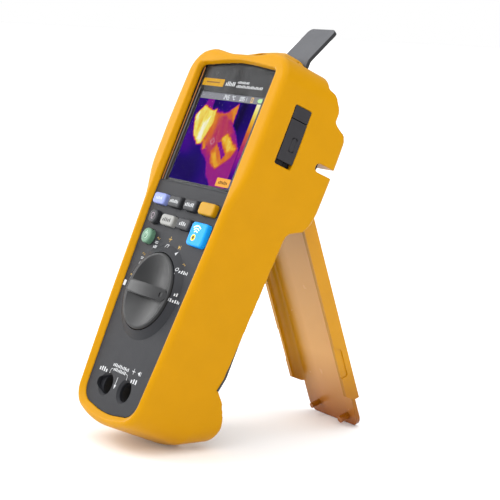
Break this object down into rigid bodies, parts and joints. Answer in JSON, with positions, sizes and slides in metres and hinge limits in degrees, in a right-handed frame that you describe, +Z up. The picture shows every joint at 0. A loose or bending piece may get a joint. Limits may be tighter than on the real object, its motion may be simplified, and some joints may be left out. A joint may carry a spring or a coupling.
{
  "type": "thermal multimeter",
  "caption": "Handheld digital multimeter with a thermal picture display, function knob, keys and input jacks, in a rubber holster leaning back on an open kickstand.",
  "frame": {"origin": "on the floor, at the centre of the footprint box, with the kickstand open", "axes": "+X to the right as the user reads the display, +Y from the front of the meter to the kickstand, +Z up"},
  "size_m": [0.0936, 0.1542, 0.218],
  "materials": {
    "holster_rubber": "satin moulded rubber",
    "stand_plastic": "smooth satin plastic",
    "case_plastic": "fine matte texture",
    "knob_plastic": "satin",
    "seal_rubber": "soft matte",
    "membrane_rubber": "soft matte",
    "clear_window": "clear gloss",
    "lens_glass": "dark coated gloss",
    "black_mask": "printed black",
    "display_screen": "lit colour display",
    "circuit_board": "solder mask green",
    "contact_brass": "plated",
    "inner_plastic": "plain moulded",
    "plain_steel": "bright",
    "black_aluminium": "black anodised",
    "battery_wrap": "shrink wrap",
    "cover_rubber": "matte",
    "strap_rubber": "matte woven face",
    "key_lavender": "soft touch",
    "key_dark": "soft touch",
    "key_yellow": "soft touch",
    "key_pale": "soft touch",
    "key_blue": "backlit",
    "key_green": "soft touch"
  },
  "bodies": {
    "meter": {"holster": "holster_rubber", "front_case": "case_plastic", "rear_case": "case_plastic", "battery_door": "case_plastic", "camera_bezel": "case_plastic", "case_gasket": "seal_rubber", "display_gasket": "seal_rubber", "keypad_membrane": "membrane_rubber", "display_window": "clear_window", "camera_lens": "lens_glass", "display_mask": "black_mask", "display_module": "display_screen", "main_board": "circuit_board", "camera_board": "circuit_board", "wireless_board": "circuit_board", "rotary_contact_plate": "contact_brass", "jack_contacts": "contact_brass", "battery_contacts": "contact_brass", "jack_insulators": "inner_plastic", "buzzer": "inner_plastic", "detent_spring": "plain_steel", "case_screws": "plain_steel", "battery_door_screws": "plain_steel", "stand_hinge_pin": "plain_steel", "strap_pin": "plain_steel", "usb_socket": "plain_steel", "camera_barrel": "black_aluminium", "battery_pack": "battery_wrap", "usb_cover_anchor": "cover_rubber"},
    "kickstand": {"kickstand": "stand_plastic"},
    "usb_cover": {"usb_cover": "cover_rubber"},
    "hanging_strap": {"hanging_strap": "strap_rubber"},
    "knob": {"switch_knob": "knob_plastic", "knob_shaft": "inner_plastic", "switch_rotor": "inner_plastic"},
    "hold_button": {"hold_button": "key_lavender"},
    "minmax_button": {"minmax_button": "key_dark"},
    "range_button": {"range_button": "key_dark"},
    "shift_button": {"shift_button": "key_yellow"},
    "light_button": {"light_button": "key_dark"},
    "setup_button": {"setup_button": "key_pale"},
    "save_button": {"save_button": "key_dark"},
    "wireless_button": {"wireless_button": "key_blue"},
    "power_button": {"power_button": "key_green"}
  },
  "joints": [
    {"name": "kickstand_hinge", "type": "hinge", "parent": "meter", "child": "kickstand", "pos_m": [0, 0.02179, 0.1364], "axis": [1, 0, 0], "range_deg": [-42.7, 0]},
    {"name": "knob_turn", "type": "hinge", "parent": "meter", "child": "knob", "pos_m": [0, -0.05111, 0.08011], "axis": [0, -0.9272, 0.3746], "range_deg": [0, 180]},
    {"name": "usb_cover_flex", "type": "hinge", "parent": "meter", "child": "usb_cover", "pos_m": [0.0468, 0.00558, 0.17143], "axis": [0, -0.9272, 0.3746], "range_deg": [0, 100], "stiffness_Nm_per_rad": 0.002},
    {"name": "strap_hinge", "type": "hinge", "parent": "meter", "child": "hanging_strap", "pos_m": [0, 0.0308, 0.19154], "axis": [1, 0, 0], "range_deg": [-90, 5]},
    {"name": "hold_button_press", "type": "slide", "parent": "meter", "child": "hold_button", "axis": [0, 0.9272, -0.3746], "range_m": [0, 0.001], "stiffness_N_per_m": 300},
    {"name": "minmax_button_press", "type": "slide", "parent": "meter", "child": "minmax_button", "axis": [0, 0.9272, -0.3746], "range_m": [0, 0.001], "stiffness_N_per_m": 300},
    {"name": "range_button_press", "type": "slide", "parent": "meter", "child": "range_button", "axis": [0, 0.9272, -0.3746], "range_m": [0, 0.001], "stiffness_N_per_m": 300},
    {"name": "shift_button_press", "type": "slide", "parent": "meter", "child": "shift_button", "axis": [0, 0.9272, -0.3746], "range_m": [0, 0.001], "stiffness_N_per_m": 300},
    {"name": "light_button_press", "type": "slide", "parent": "meter", "child": "light_button", "axis": [0, 0.9272, -0.3746], "range_m": [0, 0.001], "stiffness_N_per_m": 300},
    {"name": "setup_button_press", "type": "slide", "parent": "meter", "child": "setup_button", "axis": [0, 0.9272, -0.3746], "range_m": [0, 0.001], "stiffness_N_per_m": 300},
    {"name": "save_button_press", "type": "slide", "parent": "meter", "child": "save_button", "axis": [0, 0.9272, -0.3746], "range_m": [0, 0.001], "stiffness_N_per_m": 300},
    {"name": "wireless_button_press", "type": "slide", "parent": "meter", "child": "wireless_button", "axis": [0, 0.9272, -0.3746], "range_m": [0, 0.001], "stiffness_N_per_m": 300},
    {"name": "power_button_press", "type": "slide", "parent": "meter", "child": "power_button", "axis": [0, 0.9272, -0.3746], "range_m": [0, 0.001], "stiffness_N_per_m": 300}
  ]
}
